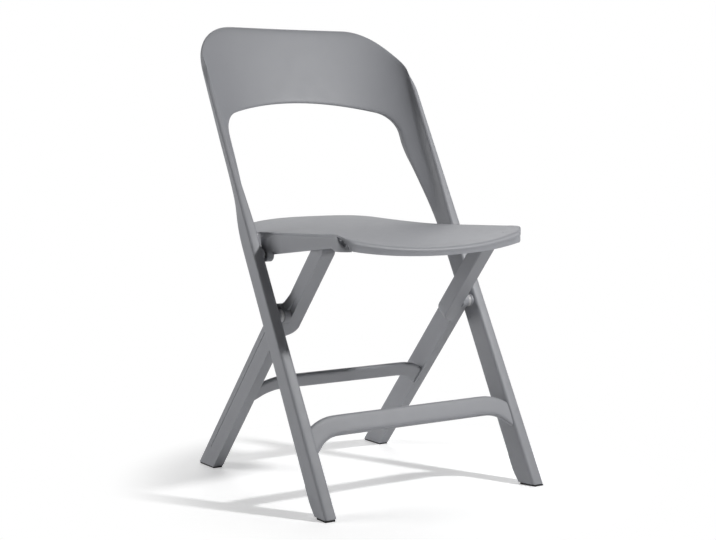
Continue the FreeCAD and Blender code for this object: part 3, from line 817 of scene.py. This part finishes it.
def rear_leg():
    """A bar with a round tongue beside the arm, a hub on the pin and a panel line on its outer face."""
    half = REAR_DEPTH / 2
    foot = CROSS.z / -REAR_DOWN.z + REAR_DEPTH
    top = TONGUE_END - half
    bm = slab([
        Vector((REAR_OUTSIDE, foot, -half)),
        Vector((REAR_OUTSIDE, top, -half)),
        Vector((REAR_OUTSIDE, top, half)),
        Vector((REAR_OUTSIDE, foot, half)),
    ], (ARM_OUTSIDE - REAR_OUTSIDE, 0, 0), ((1, half - HAIR), (2, half - HAIR)))
    split(bm, bm.faces[:], (0, ARM_SEAM, 0), (0, 1, 0))
    drawn_out(bm, facing(bm, -1, ARM_SEAM), (REAR_INSIDE - ARM_OUTSIDE, 0, 0))
    bmesh.ops.recalc_face_normals(bm, faces=bm.faces)
    rounded(bm, [e for e in sharp_edges(bm, SQUARE_EDGE) if not on_lap(e)], EDGE)
    line = half - PANEL_EDGE
    end = (CROSS.z - PANEL_FOOT) / -REAR_DOWN.z
    faces = facing(bm, 1, ARM_SEAM)
    for at, way in (
        ((0, 0, line), (0, 0, 1)),
        ((0, 0, line - PANEL_GROOVE), (0, 0, 1)),
        ((0, end, 0), (0, 1, 0)),
    ):
        faces = split(bm, faces, at, way)
    drawn_out(bm, [
        f for f in facing(bm, 1, ARM_SEAM)
        if line - PANEL_GROOVE < f.calc_center_median().z < line and f.calc_center_median().y < end
    ], (-PANEL_GROOVE_DEPTH, 0, 0))
    bmesh.ops.transform(bm, matrix=REAR_TO_CHAIR, verts=bm.verts)
    bmesh.ops.bisect_plane(
        bm, geom=bm.verts[:] + bm.edges[:] + bm.faces[:], plane_co=(0, 0, SOLE), plane_no=(0, 0, -1),
        clear_outer=True,
    )
    closed(bm)
    return added(bm, disc(HUB, ARM_OUTSIDE + LAP, REAR_OUTSIDE - LAP, CROSS_PIN.y, CROSS_PIN.z))


def arm_top():
    """How far the arm's round top lies up the leg from the crossing, and its radius."""
    radius = ARM_DEPTH / 2
    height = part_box("rest_shoe_left")[1][2] / MM - radius
    across = radius - REAR_DEPTH / 2
    return (height - CROSS.z - across * REAR_BACK.z) / -REAR_DOWN.z, radius


def hinge_arm():
    """The arm: a bar set in towards the seat, with a slanted lower end and a web that flares to the hub."""
    front = -REAR_DEPTH / 2
    rise, _ = arm_top()
    bm = slab([
        Vector((ARM_INSIDE, -rise, front)),
        Vector((ARM_OUTSIDE, -rise, front)),
        Vector((ARM_OUTSIDE, ARM_SEAM, front)),
        Vector((REAR_INSIDE, ARM_SEAM, front)),
        Vector((ARM_INSIDE, ARM_SEAM - ARM_SLANT, front)),
    ], (0, 0, ARM_DEPTH), ((4, ARM_BEND),))
    below = [e for e in sharp_edges(bm, SQUARE_EDGE) if max(v.co.y for v in e.verts) > NEAR - rise]
    rounded(bm, [e for e in below if max(v.co.x for v in e.verts) < ARM_OUTSIDE - NEAR], EDGE)
    rounded(bm, [e for e in sharp_edges(bm, SQUARE_EDGE) if on_lap(e)], ARM_OUTER_EDGE)
    outline = [(ARM_OUTSIDE + out, down) for out, down in WEB_CURVE]
    outline += [(REAR_OUTSIDE - WEB_INSET, down) for down in WEB_HUB]
    outline.append((outline[0][0], WEB_HUB[1]))
    web = slab([Vector((x, down, WEB_FRONT)) for x, down in outline], (0, 0, WEB_DEPTH))
    rounded(web, sharp_edges(web, SQUARE_EDGE), WEB_EDGE)
    added(bm, web)
    bmesh.ops.transform(bm, matrix=REAR_TO_CHAIR, verts=bm.verts)
    return bm


def arm_shoe():
    """The arm's round top, which carries the seat."""
    rise, radius = arm_top()
    at = REAR_TO_CHAIR @ Vector((0, -rise, radius - REAR_DEPTH / 2))
    return disc(radius, ARM_INSIDE + LAP, ARM_OUTSIDE - LAP, at.y, at.z, SHOE_EDGE)


# Seat


def spline(rows, column, place):
    """A smooth curve through a column of the seat's lines."""
    last = len(rows) - 1
    inner = next((k for k in range(1, last) if rows[k][0] > place), last)

    def slope(k):
        low, high = max(0, k - 1), min(last, k + 1)
        return (rows[high][column] - rows[low][column]) / (rows[high][0] - rows[low][0])

    start, end = rows[inner - 1], rows[inner]
    gap = end[0] - start[0]
    t = (place - start[0]) / gap
    return (
        start[column] * (1 + 2 * t) * (1 - t) ** 2 + slope(inner - 1) * gap * t * (1 - t) ** 2
        + end[column] * t * t * (3 - 2 * t) + slope(inner) * gap * t * t * (t - 1)
    )


def crown(x, y):
    """Height of the seat's upper face."""
    place = (y - SEAT_FRONT) / SEAT_LENGTH
    middle = spline(SEAT_LINES, MIDDLE_COLUMN, place)
    side = spline(SEAT_LINES, SIDE_COLUMN, place)
    power = SEAT_FULLNESS[0] + SEAT_FULLNESS[1] * max(place, 0)
    return SEAT_HEIGHT + middle + (side - middle) * (abs(x) / SEAT_WIDE) ** power


def front_edge(x):
    return SEAT_FRONT - SEAT_FRONT_BOW * (1 - (x / SEAT_HALF) ** 2)


def rear_edge(x):
    return SEAT_FRONT + SEAT_LENGTH + SEAT_REAR_BOW * (1 - (x / SEAT_HALF) ** 2)


def cornered(x, y):
    """Draws a point of the seat's square plan in towards a rounded corner."""
    rear = y > SEAT_FRONT + SEAT_LENGTH / 2
    size = SEAT_REAR_ROUND if rear else SEAT_FRONT_ROUND
    edge = rear_edge(x) if rear else front_edge(x)
    across = (abs(x) - (SEAT_HALF - size)) / size
    inward = 1 - abs(edge - y) / size
    if across <= 0 or inward <= 0:
        return x, y
    new_across = across * math.sqrt(1 - inward ** 2 / 2)
    new_inward = inward * math.sqrt(1 - across ** 2 / 2)
    x = math.copysign(SEAT_HALF - size + new_across * size, x)
    return x, edge + (1 - new_inward) * size * (-1 if rear else 1)


def narrowed(x, y):
    """Draws the sides in a little near the front, where the folded seat lies between the necks."""
    return x * (1 - SEAT_NARROW / SEAT_HALF * eased((SEAT_NARROW_REAR - y) / SEAT_NARROW_RUN))


def shell_depth(x, y):
    """Thickness of the seat: a thin edge at the sides, a deep lip at the front."""
    behind = y - front_edge(x)
    inside = SEAT_HALF - abs(x)
    lip = eased((LIP_REACH - behind) / LIP_FADE) * eased((inside - LIP_END) / LIP_FADE)
    side = eased((SIDE_STRIP - inside) / LIP_FADE)
    deep = SEAT_LIP + SEAT_LIP_DEEPER * (x / SEAT_HALF) ** 2
    return SEAT_SHELL + (deep - SEAT_SHELL) * lip - SIDE_THINNER * side * (1 - lip)


def seat_row(share, length):
    """A row's distance from the front edge, and how far it has fallen round the lip."""
    if share < SEAT_ROLL_SHARE:
        angle = share / SEAT_ROLL_SHARE * math.pi / 2
        return SEAT_ROLL * (1 - math.cos(angle)), SEAT_ROLL * (1 - math.sin(angle))
    rest = (share - SEAT_ROLL_SHARE) / (1 - SEAT_ROLL_SHARE)
    return SEAT_ROLL + (length - SEAT_ROLL) * (1 - math.cos(rest * math.pi)) / 2, 0.0


def seat_shell():
    """The dished panel with its rolled front lip."""
    bm = bmesh.new()
    across, lengthwise = SEAT_GRID
    made = bmesh.ops.create_grid(bm, x_segments=across, y_segments=lengthwise, size=1.0)
    for vert in made["verts"]:
        x = math.sin(vert.co.x * math.pi / 2) * SEAT_HALF
        back, fall = seat_row((1 + vert.co.y) / 2, rear_edge(x) - front_edge(x))
        x, y = cornered(x, front_edge(x) + back)
        vert.co = (narrowed(x, y), y, crown(x, y) - fall)
    made = bmesh.ops.extrude_face_region(bm, geom=bm.faces[:])
    for vert in [v for v in made["geom"] if isinstance(v, bmesh.types.BMVert)]:
        x, y, z = vert.co
        vert.co.z = min(z - LIP_FACE, crown(x, y) - shell_depth(x, y))
    bmesh.ops.recalc_face_normals(bm, faces=bm.faces)
    rounded(bm, sharp_edges(bm, SQUARE_EDGE), SEAT_EDGE)
    return bm


def rib(start, end):
    """A rib that hangs from the shell between two points of the plan."""
    bm = bmesh.new()
    steps = 16
    start, end = Vector(start), Vector(end)
    side = Vector((end - start).normalized().yx) * RIB_WALL / 2
    made = bmesh.ops.create_grid(bm, x_segments=steps, y_segments=1, size=0.5)
    for vert in made["verts"]:
        at = start.lerp(end, vert.co.x + 0.5)
        drop = RIB_ROOT if vert.co.y > 0 else RIB_FOOT
        vert.co = (at.x - side.x, at.y - side.y, crown(*at) - drop)
    made = bmesh.ops.extrude_face_region(bm, geom=bm.faces[:])
    moved = [v for v in made["geom"] if isinstance(v, bmesh.types.BMVert)]
    bmesh.ops.translate(bm, vec=(2 * side.x, 2 * side.y, 0), verts=moved)
    bmesh.ops.recalc_face_normals(bm, faces=bm.faces)
    return bm


def wall_foot(y):
    """Height of the side wall's lower edge, deeper in front of the arm."""
    if y < SEAT_PIVOT.y:
        share = min(1.0, (y - WALL_START) / (SEAT_PIVOT.y - LUG - WALL_START))
        nose = SEAT_PAD - WALL_NOSE
        line = nose + (SEAT_PIVOT.z - nose) * share
        return line + (SEAT_PAD - CORNER_DROP - line) * eased((CORNER_REAR - y) / CORNER_RUN)
    return SEAT_PIVOT.z + WALL_REAR_RISE * eased((y - SEAT_PIVOT.y - LUG) / WALL_REAR_RUN)


def wall_loop(x, y, way):
    """The side wall's section at a place of its plan line; way points out of the seat."""
    begun = eased((RECESS_REAR - y) / RECESS_REAR_RUN)
    ended = eased((RECESS_FRONT - y) / RECESS_FRONT_RUN)
    low = wall_foot(y)
    high = crown(x, y) - WALL_TOP - RECESS * begun * (1 - ended)
    inner = (x - WALL_THICK * way[0], y - WALL_THICK * way[1])
    return corners_section([
        Vector((x, y, low)),
        Vector((x, y, high)),
        Vector((*inner, high)),
        Vector((*inner, low)),
    ], WALL_POINTS)


def side_wall():
    """The left side wall, from round the front corner to behind the pivot."""
    radius = SEAT_FRONT_ROUND - WALL_INSET
    centre = (SEAT_HALF - SEAT_FRONT_ROUND, SEAT_FRONT + SEAT_FRONT_ROUND)
    loops = []
    bends = 10
    for k in range(bends):
        angle = -WALL_TURN * (1 - k / bends)
        way = (math.cos(angle), math.sin(angle))
        loops.append(wall_loop(centre[0] + radius * way[0], centre[1] + radius * way[1], way))
    end = SEAT_PIVOT.y + WALL_REAR
    runs = 40
    loops += [
        wall_loop(SEAT_FACE, centre[1] + (end - centre[1]) * k / runs, (1, 0)) for k in range(runs + 1)
    ]
    return closed(rolled(loops))


def ear():
    """The flare of the left side wall that reaches out to the leg over the pivot."""
    y, z = SEAT_PIVOT.y, SEAT_PIVOT.z + EAR_RISE
    outline = [(SEAT_FACE + EAR_ROOT, EAR_CURVE[0][1])]
    outline += [(SEAT_FACE + out, behind) for out, behind in EAR_CURVE]
    outline += [(EAR, behind) for behind in EAR_FLAT]
    outline.append((SEAT_FACE + EAR_ROOT, EAR_REAR))
    bm = slab([Vector((x, y + behind, z)) for x, behind in outline], (0, 0, EAR_HEIGHT))
    bmesh.ops.bisect_plane(
        bm, geom=bm.verts[:] + bm.edges[:] + bm.faces[:],
        plane_co=(SEAT_FACE + EAR_CUT, y, z + EAR_HEIGHT), plane_no=Vector((1, 0, 1)).normalized(),
        clear_outer=True,
    )
    closed(bm)
    rounded(bm, sharp_edges(bm), EAR_EDGE)
    return added(bm, disc(LUG, LUG_INSIDE, EAR - LAP, SEAT_PIVOT.y, SEAT_PIVOT.z))


def block(low, high):
    """A box between two corners."""
    low, high = Vector(low), Vector(high)
    bm = bmesh.new()
    size = Matrix.Diagonal(high - low).to_4x4()
    bmesh.ops.create_cube(bm, size=1.0, matrix=Matrix.Translation((low + high) / 2) @ size)
    rounded(bm, sharp_edges(bm, SQUARE_EDGE), BLOCK_EDGE)
    return bm


def seat_side():
    """The left side wall with its ear, a gusset in the front corner and the pad over the arm."""
    bm = added(side_wall(), ear())
    added(bm, block(*GUSSET))
    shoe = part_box("rest_shoe_left")
    pad_y = (shoe[0][1] + shoe[1][1]) / 2 / MM - SHIFT
    pad_low = (ARM_INSIDE, pad_y - PAD_HALF, SEAT_PAD)
    pad_high = (ARM_OUTSIDE, pad_y + PAD_HALF, SEAT_PAD + PAD_THICK)
    return added(bm, block(pad_low, pad_high))


def seat():
    """The whole seat: panel, ribs and both sides."""
    bm = seat_shell()
    for k in range(CROSS_RIBS):
        y = SEAT_FRONT + CROSS_RIB_PITCH * (k + 0.5)
        added(bm, rib((-RIB_HALF, y), (RIB_HALF, y)))
    for k in range(-LONG_RIBS_ASIDE, LONG_RIBS_ASIDE + 1):
        x = LONG_RIB_PITCH * k
        margin = OUTER_RIB_MARGIN if abs(k) == LONG_RIBS_ASIDE else RIB_MARGIN
        added(bm, rib((x, front_edge(x) + margin), (x, rear_edge(x) - margin)))
    added(bm, mirrored(seat_side()))
    return bm


# The chair

piece("back_frame_shell", back_frame(), "frame", replaced=["back_frame"], levels=2)
piece("leg_bosses", leg_bosses(), "frame")
front_band = band(HALF - LEG_FRONT, FRONT_BAND_HEIGHT, FRONT_BAND_LEVEL, FRONT_LEAN, 0)
piece("front_band", front_band, "frame", replaced=["front_stretcher"], levels=2)
rear_band = band(REAR_INSIDE, REAR_BAND_HEIGHT, REAR_BAND_LEVEL, -REAR_LEAN, REAR_FOOT)
piece("rear_band", rear_band, "rear_legs", replaced=["rear_stretcher"], levels=2)
pair("rear_leg_bar", rear_leg, "rear_legs", ["rear_leg"])
pair("hinge_arm_bar", hinge_arm, "rear_legs", ["hinge_arm"])
pair("arm_shoe", arm_shoe, "rear_legs", ["rest_shoe"])
piece("seat_panel", seat(), "seat_panel", replaced=["seat"])

slots = {part["node"]: part["material_slot"] for part in frame["record"]["subparts"]}
for name, node in frame["nodes"].items():
    node.data.materials.clear()
    node.data.materials.append(FINISHES[slots[name]])


# Floor, light and camera


def floor_finish():
    """A pale floor that keeps the chair's shadow and fades to white away from it."""
    finish = material("pale_floor")
    ends = {0: finish.place(), 1: SHADOW_MIDDLE}
    away = finish.node("VectorMath", {"operation": "DISTANCE"}, ends, "Value")
    near_end, far_end = SHADOW_FADE
    far = finish.node("MapRange", {"interpolation_type": "SMOOTHSTEP"}, {
        "Value": away, "From Min": near_end, "From Max": far_end, "To Min": 0.0, "To Max": 1.0,
    })
    paint = finish.node("BsdfDiffuse", {}, {"Color": shade(WHITE[:3], FLOOR_PAINT)})
    glow = finish.node("Emission", {}, {"Color": WHITE, "Strength": FLOOR_GLOW})
    white = finish.node("Emission", {}, {"Color": WHITE, "Strength": 1.0})
    near = finish.node("AddShader", {}, {0: paint, 1: glow})
    bright = finish.node("MixShader", {}, {0: far, 1: near, 2: white})
    return finish.surface(finish.node("MixShader", {}, {0: finish.seen(), 1: paint, 2: bright}))


def floor():
    bm = bmesh.new()
    bmesh.ops.create_grid(bm, x_segments=1, y_segments=1, size=FLOOR_HALF)
    mesh = bpy.data.meshes.new("floor")
    bm.to_mesh(mesh)
    bm.free()
    mesh.materials.append(floor_finish())
    made = bpy.data.objects.new("floor", mesh)
    bpy.context.scene.collection.objects.link(made)


def sky():
    """A white backdrop, and a dim even light."""
    world = bpy.data.worlds.new("studio")
    bpy.context.scene.world = world
    finish = Finish(world)
    dim = finish.node("Background", {}, {"Color": WHITE, "Strength": SKY_DIM})
    white = finish.node("Background", {}, {"Color": WHITE, "Strength": 1.0})
    finish.surface(finish.node("MixShader", {}, {0: finish.seen(), 1: dim, 2: white}), "OutputWorld")


def lamp(name, way, distance, size, power):
    """A soft square lamp that shines on the chair from a direction."""
    light = bpy.data.lights.new(name, "AREA")
    light.size = size
    light.energy = power
    made = bpy.data.objects.new(name, light)
    made.location = Vector(LAMP_AIM) + Vector(way).normalized() * distance
    made.rotation_euler = (-Vector(way)).to_track_quat("-Z", "Y").to_euler()
    bpy.context.scene.collection.objects.link(made)


def camera():
    data = bpy.data.cameras.new("camera")
    data.lens = LENS
    data.sensor_fit = "HORIZONTAL"
    data.sensor_width = SENSOR
    made = bpy.data.objects.new("camera", data)
    made.location = CAMERA_PLACE
    made.rotation_euler = Vector(CAMERA_WAY).to_track_quat("-Z", "Y").to_euler()
    bpy.context.scene.collection.objects.link(made)
    bpy.context.scene.camera = made


floor()
sky()
for settings in LAMPS:
    lamp(*settings)
camera()
bpy.context.scene.view_settings.view_transform = "Standard"
